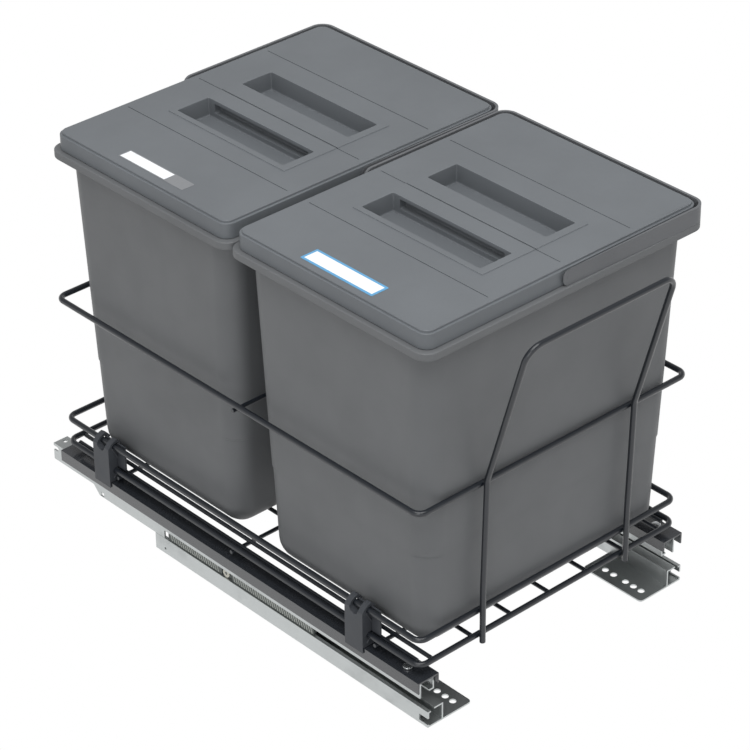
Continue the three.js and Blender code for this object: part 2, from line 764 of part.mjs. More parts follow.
function upperCageBody(side) {
  const top = midTop + gap + upperCage.top;
  const outer = midOuter + gap + upperCage.side;
  return join(
    box(side * (midInner + sheet), side * outer, upperCage.front, upperCage.rear, midTop + gap, top),
    box(side * (midOuter + gap), side * outer, upperCage.front, upperCage.rear,
      top - upperCage.height, top),
  );
}

const pegX = channelOuter - bracketFoot / 2;
const channelScrewX = channelOuter - channelScrew.fromOuter;

function channel(side) {
  const profile = bentSheet([
    [channelInner, channelTop - channelHeight + channelInnerShort],
    [channelInner, channelTop],
    [channelOuter, channelTop],
    [channelOuter, channelTop - channelHeight],
  ], -sheet);
  const hole = (x, y, diameter) =>
    rodZ(side * x, y, channelTop - reach, channelTop + reach, diameter + 2 * gap, 12);
  return cut(
    runY(onSide(side, profile), channelFront, channelRear),
    ...Object.values(bracketPlaces).map((y) => hole(pegX, y, pegDiameter)),
    hole(channelScrewX, channelScrew.at, channelScrew.shank),
  );
}

// A pan-head screw standing on z = 0, its shank pointing down.
function panScrew(head, height, shank, depth) {
  return new THREE.LatheGeometry([
    [0, -depth],
    [shank / 2, -depth],
    [shank / 2, 0],
    [head / 2, 0],
    [head / 2, height - screwCrown.rise],
    [screwCrown.width * head / 2, height - screwCrown.rim],
    [0, height],
  ].map(([r, z]) => new THREE.Vector2(r, z)), 16).rotateX(Math.PI / 2);
}

// ---------------------------------------------------------------- brackets

const slotRadius = loopWire / 2 + gap;
const bracketOuter = channelOuter + gap + bracketSkin;
const clipOuter = baseLoop.x - loopWire / 2 - gap;
const ribFace = clipOuter + gap;
const screwZ = (lowerLoopZ + upperLoopZ) / 2;

// Half round round a wire that is laid in from the inside, from its lower to its upper edge.
function slotArc(z) {
  const steps = 6;
  return Array.from({ length: steps + 1 }, (_, i) => {
    const angle = -Math.PI / 2 + Math.PI * i / steps;
    return [baseLoop.x + slotRadius * Math.cos(angle), z + slotRadius * Math.sin(angle)];
  });
}

function bracket(side, y) {
  const seat = channelTop + gap;
  const footInner = channelOuter - bracketFoot;
  const hookBottom = upperLoopZ + slotRadius;
  const outline = [
    [footInner, seat],
    [channelOuter + gap, seat],
    [channelOuter + gap, channelTop - bracketSkirt],
    [bracketOuter, channelTop - bracketSkirt],
    ...hookBack.map(([inset, rise]) => [bracketOuter - inset, upperLoopZ + rise]),
    [bracketOuter - hookTip.inset, upperLoopZ + hookTip.rise],
    [bracketOuter - hookTip.root, hookBottom],
    [ribFace, hookBottom],
    ...slotArc(upperLoopZ).reverse(),
    [ribFace, upperLoopZ - slotRadius],
    [ribFace, lowerLoopZ + slotRadius],
    ...slotArc(lowerLoopZ).reverse(),
    [footInner, lowerLoopZ - slotRadius],
  ];
  const block = runY(onSide(side, outline), y - bracketDepth / 2, y + bracketDepth / 2);
  const peg = rodZ(side * pegX, y, channelTop - sheet + gap, seat + gap, pegDiameter, 12);
  const notchZ = upperLoopZ - notchFloor + notchWidth / 2;
  const across = [side * (bracketOuter - bracketDepth), side * (bracketOuter + reach)];
  return cut(
    join(block, peg),
    rodX(...across, y, notchZ, notchWidth, 16),
    box(...across, y - notchWidth / 2, y + notchWidth / 2, notchZ, upperLoopZ + bracketDepth),
    rodX(side * (ribFace - reach), side * (ribFace + screwDepth + gap), y, screwZ,
      screwShank + 2 * gap, 12),
  );
}

function clip(side, y) {
  const plate = box(side * (clipOuter - clipThickness), side * clipOuter, y - clipReach.front,
    y + clipReach.rear, lowerLoopZ + slotRadius, upperLoopZ + slotRadius - gap);
  const hole = rodX(side * (clipOuter - reach), side * (clipOuter + reach), y, screwZ,
    screwShank + 2 * gap, 12);
  return cut(plate, hole);
}

function clipScrew(side, y) {
  const seat = clipOuter - clipThickness - gap;
  const depth = ribFace + screwDepth - seat;
  return panScrew(screwHead.diameter, screwHead.height, screwShank, depth)
    .rotateY(-side * Math.PI / 2).translate(side * seat, y, screwZ);
}

for (const [name, side] of [['left', -1], ['right', 1]]) {
  add(`${name}_fixed_rail`, fixedRail(side), zincPlate);
  add(`${name}_intermediate`, intermediateRail(side), zincPlate);
  add(`${name}_lower_cage`, lowerCageBody(side), cagePlastic);
  add(`${name}_roller`, roller(side), rollerPlastic);
  add(`${name}_upper_cage`, upperCageBody(side), cagePlastic);
  add(`${name}_channel`, channel(side), channelPaint);
  add(`${name}_channel_screw`,
    panScrew(channelScrew.head, channelScrew.height, channelScrew.shank, sheet)
      .translate(side * channelScrewX, channelScrew.at, channelTop + gap), steel);
  for (const [end, y] of Object.entries(bracketPlaces)) {
    add(`${end}_${name}_bracket`, bracket(side, y), bracketPlastic);
    add(`${end}_${name}_clip`, clip(side, y), bracketPlastic);
    add(`${end}_${name}_clip_screw`, clipScrew(side, y), steel);
  }
}

export default sorter;
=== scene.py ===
"""A pull-out waste sorter: two lidded bins in a wire basket on full-extension runners.

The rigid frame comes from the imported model. Each visible piece is modelled or refined here, in
metres and in the frame's own places: +Z up, +X to the right, the basket pulls out towards -Y.
"""

import math

import bpy
from mathutils import Matrix, Vector


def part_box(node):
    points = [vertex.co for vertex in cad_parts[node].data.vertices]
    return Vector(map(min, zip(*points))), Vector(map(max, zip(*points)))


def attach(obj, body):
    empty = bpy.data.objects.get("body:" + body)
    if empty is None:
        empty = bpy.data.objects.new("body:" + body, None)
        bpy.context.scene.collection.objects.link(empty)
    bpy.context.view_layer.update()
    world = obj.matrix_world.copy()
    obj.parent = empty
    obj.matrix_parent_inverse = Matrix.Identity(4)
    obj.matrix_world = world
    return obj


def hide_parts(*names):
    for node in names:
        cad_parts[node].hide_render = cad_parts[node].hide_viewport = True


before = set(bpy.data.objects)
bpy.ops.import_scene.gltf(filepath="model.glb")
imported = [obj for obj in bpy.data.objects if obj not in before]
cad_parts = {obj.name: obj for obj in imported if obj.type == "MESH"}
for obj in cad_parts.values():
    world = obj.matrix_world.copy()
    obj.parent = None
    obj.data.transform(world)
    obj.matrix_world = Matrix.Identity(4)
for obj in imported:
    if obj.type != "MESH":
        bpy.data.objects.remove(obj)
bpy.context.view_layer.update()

# ------------------------------------------------------------------ sizes, in metres

MM = 0.001
GAP = 0.3 * MM

LOOP_WIRE = 5.5 * MM
THIN_WIRE = 4 * MM
LOOP_BEND = 9 * MM
HANDLE_BEND = 15 * MM
WIRE_SIDES = 20
BEND_STEPS = 10  # for a quarter turn

RIM_OVERHANG = 10.5 * MM
RIM_HEIGHT = 7.3 * MM
RIM_CORNER = 14 * MM
RIM_EDGE = 0.9 * MM
BIN_WALL = 2.5 * MM
BIN_CORNER = 21.5 * MM
BIN_FOOT = 23 * MM
BIN_DRAFT = 0.0326
BIN_STEP = 159 * MM  # height of the shallow step round the walls
BIN_STEP_DEPTH = 0.6 * MM
CORNER_STEPS = 10

LID_SKIRT = 14.7 * MM
LID_STEP = 2 * MM
LID_STEP_INSET = 2.2 * MM
LID_WALL = 2.5 * MM
LID_CORNER = 11 * MM
LID_EDGE = 0.6 * MM
LID_RIB = 2 * MM
LID_RIB_PLAY = 0.6 * MM
FIELD_RISE = 0.8 * MM
FIELD = {"half": 62 * MM, "front": -80.5 * MM, "rear": 77 * MM}
FIELD_EDGE = 0.45 * MM
POCKET = {"half": 72 * MM, "depth": 18 * MM, "wall": 2.2 * MM, "corner": 1.6 * MM}
GRIP_POCKET = (-56 * MM, -19.5 * MM)
PLAIN_POCKET = (20.4 * MM, 55.5 * MM)
UNDERCUT = {"reach": 8 * MM, "sill": 5 * MM, "end": 8 * MM}
GROOVE = {"width": 1.2 * MM, "depth": 0.6 * MM, "inset": 6.5 * MM, "apart": 83 * MM}

EAR_RADIUS = 5.6 * MM
EAR_NECK = 3.4 * MM
EAR_THICKNESS = 2.05 * MM
LABEL_THICKNESS = 0.25 * MM
RIDGE = [(4.9 * MM, 41 * MM), (14.2 * MM, 23.2 * MM), (13 * MM, 17.2 * MM), (4.9 * MM, 9 * MM)]
RIDGE_WIDTH = 1.3 * MM
LABEL_CORNER = 1.2 * MM

PHOTO_PIXELS = 750
SENSOR = 36
FOCAL_PIXELS = 3091.9
PRINCIPAL_PIXEL = 373.78
CAMERA_PLACE = Vector((-1.5934, -1.7571, 1.6626))
CAMERA_TURN = -42.19
CAMERA_RISE = 32.0
CAMERA_ROLL = -0.57

AMBIENT = 0.6
CEILING_GLOW = 0.35


def span(node):
    """Lowest and highest corner of a node."""
    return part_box(node)


# ------------------------------------------------------------------ modelling by hand, in code

def leave_edit_mode():
    if bpy.context.object and bpy.context.object.mode == "EDIT":
        bpy.ops.object.mode_set(mode="OBJECT")


def alone(piece):
    """Make one piece the only selected and the active one."""
    leave_edit_mode()
    bpy.ops.object.select_all(action="DESELECT")
    piece.select_set(True)
    bpy.context.view_layer.objects.active = piece


def named(name):
    """Name the piece just added and put its place into its mesh."""
    piece = bpy.context.object
    piece.name = name
    piece.data.name = name
    bpy.ops.object.transform_apply()
    return piece


def block(name, low, high):
    """A box between two corners."""
    leave_edit_mode()
    bpy.ops.object.select_all(action="DESELECT")
    low, high = Vector(low), Vector(high)
    bpy.ops.mesh.primitive_cube_add(size=1, location=(low + high) / 2)
    bpy.context.object.scale = high - low
    return named(name)


def pick(piece, kind, test):
    """Open a piece for editing with those faces, edges or points selected that pass the test."""
    alone(piece)
    mesh = piece.data
    for parts in (mesh.vertices, mesh.edges, mesh.polygons):
        parts.foreach_set("select", [False] * len(parts))
    bpy.context.tool_settings.mesh_select_mode = (kind == "POINT", kind == "EDGE", kind == "FACE")
    if kind == "FACE":
        for face in mesh.polygons:
            face.select = test(face.center, face.normal)
    elif kind == "EDGE":
        for edge in mesh.edges:
            edge.select = test(*(mesh.vertices[i].co for i in edge.vertices))
    else:
        for point in mesh.vertices:
            point.select = test(point.co)
    bpy.ops.object.mode_set(mode="EDIT")


def everything(*_):
    return True


def draw_out(shift):
    """Extrude what is selected."""
    bpy.ops.mesh.extrude_region_move(TRANSFORM_OT_translate={"value": shift})


def modify(piece, kind, **settings):
    """Add one modifier and apply it."""
    alone(piece)
    modifier = piece.modifiers.new(kind.lower(), kind)
    for name, value in settings.items():
        setattr(modifier, name, value)
    bpy.ops.object.modifier_apply(modifier=modifier.name)


def round_edges(piece, width, segments=2, sharper_than=40):
    modify(piece, "BEVEL", width=width, segments=segments, limit_method="ANGLE",
           angle_limit=math.radians(sharper_than), miter_outer="MITER_ARC")


def smooth(piece, angle=38):
    """Shade a piece smooth but for its sharp edges, with the flat faces kept flat."""
    alone(piece)
    bpy.ops.object.shade_smooth_by_angle(angle=math.radians(angle))
    modify(piece, "WEIGHTED_NORMAL", keep_sharp=True)


def merged(name, pieces):
    """Join pieces into the first of them."""
    alone(pieces[0])
    for piece in pieces:
        piece.select_set(True)
    if len(pieces) > 1:
        bpy.ops.object.join()
    pieces[0].name = name
    pieces[0].data.name = name
    return pieces[0]


def copied(piece, name, shift):
    """A moved copy of a piece with its own mesh."""
    twin = piece.copy()
    twin.data = piece.data.copy()
    bpy.context.scene.collection.objects.link(twin)
    twin.name = name
    twin.data.name = name
    twin.data.transform(Matrix.Translation(shift))
    return twin


def refined(node, rounding=0, segments=2, name=None):
    """A copy of a node with its doubles merged, its flat faces joined and its edges rounded."""
    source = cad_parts[node]
    piece = bpy.data.objects.new(name or f"{node}_finish", source.data.copy())
    bpy.context.scene.collection.objects.link(piece)
    piece.data.materials.clear()
    pick(piece, "POINT", everything)
    bpy.ops.mesh.remove_doubles(threshold=0.002 * MM)
    bpy.ops.mesh.customdata_custom_splitnormals_clear()
    bpy.ops.mesh.dissolve_limited(angle_limit=math.radians(0.6))
    leave_edit_mode()
    if rounding:
        round_edges(piece, rounding, segments)
    smooth(piece)
    return piece


def raised_block(name, centre, half, low, high, corner):
    """A box between two heights with its upright edges rounded."""
    piece = block(name, (centre.x - half[0], centre.y - half[1], low),
                  (centre.x + half[0], centre.y + half[1], high))
    pick(piece, "EDGE", lambda a, b: abs(a.z - b.z) > (high - low) / 2)
    bpy.ops.mesh.bevel(offset=corner, segments=CORNER_STEPS, affect="EDGES")
    leave_edit_mode()
    return piece


def on_outline(place, centre, half, corner):
    """Whether a point lies on an upright rectangle with rounded corners."""
    x = abs(place.x - centre.x) - half[0] + corner
    y = abs(place.y - centre.y) - half[1] + corner
    away = math.hypot(max(x, 0), max(y, 0)) + min(max(x, y), 0) - corner
    return abs(away) < 0.08 * MM


def soften(piece, z, centre, half, corner, width):
    """Round the edges that follow such a rectangle at one height."""
    pick(piece, "EDGE", lambda a, b: all(
        abs(end.z - z) < 0.02 * MM and on_outline(end, centre, half, corner) for end in (a, b)))
    bpy.ops.mesh.bevel(offset=width, segments=3, affect="EDGES")
    leave_edit_mode()


def combined(piece, operation, tools):
    """Join pieces to a piece, or cut them out of it."""
    for tool in tools:
        modify(piece, "BOOLEAN", operation=operation, object=tool, solver="EXACT")
        bpy.data.objects.remove(tool)


def finish_piece(piece, body, finish, slot, *nodes):
    """Give a piece its finish, the body that it rides on and the nodes that it stands for."""
    leave_edit_mode()
    piece.data.materials.clear()
    piece.data.materials.append(finish)
    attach(piece, body)
    if nodes:
        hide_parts(*nodes)
    return piece


# ------------------------------------------------------------------ finishes

class Value:
    """A value that changes over a surface. Arithmetic on it adds Math nodes."""

    def __init__(self, finish, socket):
        self.finish = finish
        self.socket = socket

    def maths(self, operation, first, second=0.0, clamp=False):
        return self.finish.node("ShaderNodeMath", {"operation": operation, "use_clamp": clamp},
                                {0: first, 1: second})

    def __add__(self, other):
        return self.maths("ADD", self, other)

    __radd__ = __add__

    def __sub__(self, other):
        return self.maths("SUBTRACT", self, other)

    def __rsub__(self, other):
        return self.maths("SUBTRACT", other, self)

    def __mul__(self, other):
        return self.maths("MULTIPLY", self, other)

    __rmul__ = __mul__

    def __truediv__(self, other):
        return self.maths("DIVIDE", self, other)

    def above(self, other):
        return self.maths("GREATER_THAN", self, other)

    def below(self, other):
        return self.maths("LESS_THAN", self, other)

    def magnitude(self):
        return self.maths("ABSOLUTE", self)

    def ramp(self, low, high):
        """0 at low and below, 1 at high and above."""
        return self.finish.node("ShaderNodeMapRange", {"interpolation_type": "SMOOTHSTEP"},
                                {"Value": self, "From Min": low, "From Max": high})


class Finish:
    """A material made of nodes round one principled shader."""

    def __init__(self, name, **constants):
        self.material = bpy.data.materials.new(name)
        self.material.use_nodes = True
        self.tree = self.material.node_tree
        self.shader = self.tree.nodes["Principled BSDF"]
        for socket, value in constants.items():
            self.shader.inputs[socket.replace("_", " ")].default_value = value

    def node(self, kind, settings=None, sockets=None, output=0):
        """Add a node with its settings, then its sockets' values or links, and return an output."""
        added = self.tree.nodes.new(kind)
        for name, value in (settings or {}).items():
            if name == "stops":
                self.set_stops(added.color_ramp, value)
            else:
                setattr(added, name, value)
        for key, value in (sockets or {}).items():
            if isinstance(value, Value):
                self.tree.links.new(value.socket, added.inputs[key])
            else:
                added.inputs[key].default_value = value
        return Value(self, added.outputs[output])

    @staticmethod
    def set_stops(ramp, stops):
        while len(ramp.elements) < len(stops):
            ramp.elements.new(1)
        for element, (place, colour) in zip(ramp.elements, stops):
            element.position = place
            element.color = colour

    def feed(self, socket, value):
        self.tree.links.new(value.socket, self.shader.inputs[socket])

    def place(self, stretch=(1, 1, 1)):
        """Object coordinates in millimetres, squeezed along each axis."""
        place = self.node("ShaderNodeTexCoord", output="Object")
        scale = tuple(factor / MM for factor in stretch)
        return self.node("ShaderNodeMapping", None, {"Vector": place, "Scale": scale})

    def axis(self, letter):
        """One coordinate in millimetres."""
        return self.node("ShaderNodeSeparateXYZ", None, {"Vector": self.place()}, letter)

    def noise(self, size, detail=2.0, roughness=0.5, stretch=(1, 1, 1)):
        """A soft noise whose patches are about so many millimetres wide, from 0 to 1."""
        return self.node("ShaderNodeTexNoise", {"normalize": True}, {
            "Vector": self.place(stretch), "Scale": 1 / size, "Detail": detail,
            "Roughness": roughness})

    def between(self, factor, first, second):
        """A colour between two colours or colour values."""
        return self.node("ShaderNodeMix", {"data_type": "RGBA"}, {
            "Factor": factor, 6: first, 7: second}, 2)

    def bump(self, height, depth, strength=1.0):
        """Feed the normal with a height from 0 to 1 that stands for so many millimetres."""
        normal = self.node("ShaderNodeBump", None, {
            "Height": height, "Distance": depth * MM, "Strength": strength}, "Normal")
        self.feed("Normal", normal)


def colour(red, green, blue):
    """A display colour from 0 to 255 as a linear one."""
    def linear(part):
        part /= 255
        return part / 12.92 if part <= 0.04045 else ((part + 0.055) / 1.055) ** 2.4
    return (linear(red), linear(green), linear(blue), 1.0)


def shade(tint, factor):
    return tuple(part * factor for part in tint[:3]) + (1.0,)


def moulded_plastic(name, tint, grain=0.02, roughness=0.5):
    """Fine-grained grey plastic: faint clouds in its colour, eroded grain, a few matt patches."""
    finish = Finish(name, IOR=1.46)
    clouds = finish.noise(90, 3, 0.55)
    specks = finish.noise(0.6, 1)
    tone = clouds.ramp(0.3, 0.7) * 0.5 + specks * 0.5
    finish.feed("Base Color", finish.between(tone, shade(tint, 0.92), shade(tint, 1.08)))
    rub = finish.noise(28, 3, 0.6).ramp(0.35, 0.75)
    finish.feed("Roughness", roughness + rub * 0.07 - specks * 0.04)
    finish.bump(finish.noise(0.8, 2, 0.6), grain)
    return finish.material


def powder_coat(name, tint, roughness, gloss=0.3):
    """Dark coat on steel with the soft dimples of sprayed powder."""
    finish = Finish(name, IOR=1.5, Coat_Weight=gloss, Coat_Roughness=0.12)
    cloud = finish.noise(18, 2)
    finish.feed("Base Color", finish.between(cloud, shade(tint, 0.86), shade(tint, 1.14)))
    dimples = finish.noise(1.6, 2, 0.45)
    finish.feed("Roughness", roughness + cloud * 0.08 + dimples * 0.05)
    finish.bump(dimples, 0.05)
    return finish.material


def zinc_plate(name, tint, roughness=0.3):
    """Rolled and zinc-plated sheet: fine lines along the rail, dull clouds, a few stains."""
    finish = Finish(name)
    lines = finish.noise(0.9, 3, 0.6, (1, 0.03, 1))
    clouds = finish.noise(22, 3, 0.6)
    stains = finish.noise(60, 4, 0.65).ramp(0.55, 0.75)
    tone = lines * 0.5 + clouds * 0.5
    bright = finish.between(tone, shade(tint, 0.84), shade(tint, 1.1))
    finish.feed("Base Color", finish.between(stains * 0.35, bright, shade(tint, 0.66)))
    finish.feed("Metallic", 0.92 - stains * 0.12)
    finish.feed("Roughness", roughness + lines * 0.14 + stains * 0.1)
    finish.bump(lines, 0.012)
    return finish.material


def turned_steel(name, tint):
    """Bright steel of a small screw, with faint scratches."""
    finish = Finish(name)
    scratches = finish.noise(0.35, 3, 0.7, (1, 0.2, 1))
    finish.feed("Base Color", finish.between(scratches, shade(tint, 0.8), shade(tint, 1.1)))
    finish.feed("Metallic", 1.0 - scratches * 0.05)
    finish.feed("Roughness", 0.18 + scratches * 0.16)
    finish.bump(scratches, 0.01)
    return finish.material


def natural_plastic(name, tint):
    """Smooth plastic of a roller or a cage."""
    finish = Finish(name, IOR=1.5)
    cloud = finish.noise(5, 2)
    finish.feed("Base Color", finish.between(cloud, shade(tint, 0.9), shade(tint, 1.08)))
    finish.feed("Roughness", 0.38 + cloud * 0.14)
    finish.bump(finish.noise(0.9, 2), 0.015)
    return finish.material


def label_film(name, middle, half, edge, field, start):
    """Glossy film with a border of one colour round a blank field that begins along its length."""
    finish = Finish(name, IOR=1.5, Coat_Weight=0.3)
    beside = (finish.axis("X") - middle[0] / MM).magnitude() / (half[0] / MM)
    inset = half[0] / MM * (1 - field)
    first = (middle[1] + half[1] * (2 * start - 1)) / MM + inset
    last = (middle[1] + half[1]) / MM - inset
    along = finish.axis("Y")
    blank = beside.below(field) * along.above(first) * along.below(last)
    fibres = finish.noise(2.5, 3)
    rim = finish.between(fibres, shade(edge, 0.92), shade(edge, 1.06))
    paper = finish.between(fibres, colour(232, 236, 240), colour(246, 248, 250))
    finish.feed("Base Color", finish.between(blank, rim, paper))
    finish.feed("Roughness", 0.3 + fibres * 0.12)
    finish.bump(finish.noise(6, 2), 0.02)
    return finish.material


BIN_PLASTIC = moulded_plastic("bin_plastic", colour(103, 105, 107))
LID_PLASTIC = moulded_plastic("lid_plastic", colour(104, 108, 112), roughness=0.46)
BAIL_PLASTIC = moulded_plastic("bail_plastic", colour(100, 102, 105), roughness=0.44)
BRACKET_PLASTIC = moulded_plastic("bracket_plastic", colour(62, 65, 70), roughness=0.5)
COATED_WIRE = powder_coat("coated_wire", colour(30, 34, 40), 0.24)
CHANNEL_PAINT = powder_coat("channel_paint", colour(42, 45, 50), 0.2, 0.8)
ZINC = zinc_plate("zinc_plate", colour(196, 200, 200))
STEEL = turned_steel("bright_steel", colour(200, 203, 205))
CAGE_PLASTIC = natural_plastic("cage_plastic", colour(92, 97, 95))
# The cage's ribs are moulded in the cage plastic; this much lighter copy of it is a painted
# highlight on the ribs.
RIB_PAINTED_HIGHLIGHT_PLASTIC = natural_plastic("cage_rib_painted_highlight", colour(186, 190, 184))
ROLLER_PLASTIC = natural_plastic("roller_plastic", colour(222, 220, 208))


# ------------------------------------------------------------------ bins

def wall_inset(z, rim_bottom):
    return RIM_OVERHANG + BIN_DRAFT * (rim_bottom - z)


def tub(name, centre, half, foot_half, corner, foot, low, high):
    """A tapered vessel without a top: a box with a smaller foot and rounded edges."""
    piece = block(name, (centre.x - half.x, centre.y - half.y, low),
                  (centre.x + half.x, centre.y + half.y, high))
    pick(piece, "FACE", lambda place, normal: normal.z < -0.5)
    bpy.ops.transform.resize(value=(foot_half.x / half.x, foot_half.y / half.y, 1),
                             center_override=(centre.x, centre.y, low))
    pick(piece, "EDGE", lambda a, b: abs(a.z - b.z) > (high - low) / 2)
    bpy.ops.mesh.bevel(offset=corner, segments=CORNER_STEPS, affect="EDGES")
    pick(piece, "EDGE", lambda a, b: max(a.z, b.z) < low + 0.01 * MM)
    bpy.ops.mesh.bevel(offset=foot, segments=CORNER_STEPS - 2, affect="EDGES")
    pick(piece, "FACE", lambda place, normal: place.z > high - 0.01 * MM)
    bpy.ops.mesh.delete(type="FACE")
    leave_edit_mode()
    return piece


def rim_band(name, low, high):
    """The upright outer band of the rim, open above and below."""
    piece = block(name, low, high)
    pick(piece, "EDGE", lambda a, b: abs(a.z - b.z) > (high.z - low.z) / 2)
    bpy.ops.mesh.bevel(offset=RIM_CORNER, segments=CORNER_STEPS, affect="EDGES")
    pick(piece, "FACE", lambda place, normal: abs(normal.z) > 0.5)
    bpy.ops.mesh.delete(type="ONLY_FACE")
    leave_edit_mode()
    return piece


def bin_moulding(end):
    low, high = span(f"{end}_bin")
    rim_top = span(f"{end}_lid")[1].z - 17.8 * MM
    rim_bottom = rim_top - RIM_HEIGHT
    centre = (low + high) / 2
    rim_half = (high - low) / 2

    def half(z, wall=0.0):
        inset = wall_inset(z, rim_bottom) + wall
        return Vector((rim_half.x - inset, rim_half.y - inset, 0))

    outside = tub("outside", centre, half(rim_bottom), half(low.z), BIN_CORNER, BIN_FOOT,
                  low.z, rim_bottom)
    for height in (BIN_STEP, BIN_STEP + 0.8 * MM):
        pick(outside, "FACE", everything)
        bpy.ops.mesh.bisect(plane_co=(0, 0, height), plane_no=(0, 0, 1))
    pick(outside, "POINT", lambda place: place.z < BIN_STEP + 0.1 * MM)
    step_half = half(BIN_STEP)
    bpy.ops.transform.resize(value=(1 - BIN_STEP_DEPTH / step_half.x,
                                    1 - BIN_STEP_DEPTH / step_half.y, 1),
                             center_override=(centre.x, centre.y, 0))
    inside = tub("inside", centre, half(rim_bottom, BIN_WALL), half(low.z, BIN_WALL),
                 BIN_CORNER - BIN_WALL, BIN_FOOT - BIN_WALL, low.z + BIN_WALL, rim_top)
    band = rim_band("band", Vector((low.x, low.y, rim_bottom)), Vector((high.x, high.y, rim_top)))
    piece = merged(f"{end}_bin_moulding", [outside, inside, band])
    pick(piece, "EDGE", lambda a, b: max(abs(a.z - rim_bottom), abs(b.z - rim_bottom)) < 0.01 * MM)
    bpy.ops.mesh.bridge_edge_loops()
    pick(piece, "EDGE", lambda a, b: max(abs(a.z - rim_top), abs(b.z - rim_top)) < 0.01 * MM)
    bpy.ops.mesh.fill(use_beauty=True)
    pick(piece, "FACE", everything)
    bpy.ops.mesh.normals_make_consistent(inside=False)
    leave_edit_mode()
    soften(piece, rim_bottom, centre, rim_half, RIM_CORNER, RIM_EDGE)
    soften(piece, rim_top, centre, rim_half, RIM_CORNER, RIM_EDGE)
    soften(piece, rim_top, centre, half(rim_bottom, BIN_WALL), BIN_CORNER - BIN_WALL, RIM_EDGE / 2)
    smooth(piece)
    ears = [pivot_ear(end, side, rim_top) for side in (-1, 1)]
    piece = merged(piece.name, [piece, *ears])
    return finish_piece(piece, f"{end}_bin", BIN_PLASTIC, "bin_plastic", f"{end}_bin")


def pivot_ear(end, side, rim_top):
    """A round-headed ear that stands on the rim and carries one end of the bail."""
    lid_low, lid_high = span(f"{end}_lid")
    bail_low, bail_high = span(f"{end}_bail")
    face = (lid_high.y if side > 0 else lid_low.y) + side * GAP
    height = (bail_low.z + bail_high.z) / 2
    near, far = sorted((face, face + side * EAR_THICKNESS))
    neck = block("ear_neck", (-EAR_NECK, near, rim_top - 0.5 * MM), (EAR_NECK, far, height))
    leave_edit_mode()
    bpy.ops.object.select_all(action="DESELECT")
    bpy.ops.mesh.primitive_cylinder_add(
        vertices=48, radius=EAR_RADIUS, depth=EAR_THICKNESS, rotation=(math.pi / 2, 0, 0),
        location=(0, (near + far) / 2, height))
    ear = named(f"ear_{end}")
    combined(ear, "UNION", [neck])
    pick(ear, "POINT", everything)
    bpy.ops.mesh.remove_doubles(threshold=0.15 * MM)
    bpy.ops.mesh.dissolve_limited(angle_limit=math.radians(1))
    leave_edit_mode()
    round_edges(ear, 0.3 * MM, 2)
    smooth(ear)
    return ear


# ------------------------------------------------------------------ lids, labels and bails

def pocket_blocks(centre, sides, top, undercut):
    """The blocks that make one finger pocket: its housing and its hollow."""
    floor = top - POCKET["depth"]
    wall, half = POCKET["wall"], POCKET["half"]
    roof = top - FIELD_RISE - LID_WALL

    def cell(name, x0, x1, reach, low, high):
        return block(name, (centre.x + x0, centre.y - reach, low),
                     (centre.x + x1, centre.y + reach, high))

    housing = [cell("housing", sides[0] - wall, sides[1] + wall, half + wall, floor - wall,
                    roof + LID_WALL / 2)]
    hollow = [cell("hollow", sides[0], sides[1], half, floor, top + 3 * MM)]
    if undercut:
        sill, side = floor + UNDERCUT["sill"], half - UNDERCUT["end"]
        far = sides[1] + UNDERCUT["reach"]
        housing.append(cell("shelf", sides[1], far + wall, side + wall, sill - wall,
                            roof + LID_WALL / 2))
        hollow.append(cell("undercut", sides[1] - 3 * MM, far, side, sill, roof))
    for tool in hollow:
        round_edges(tool, POCKET["corner"], 4)
    return housing, hollow


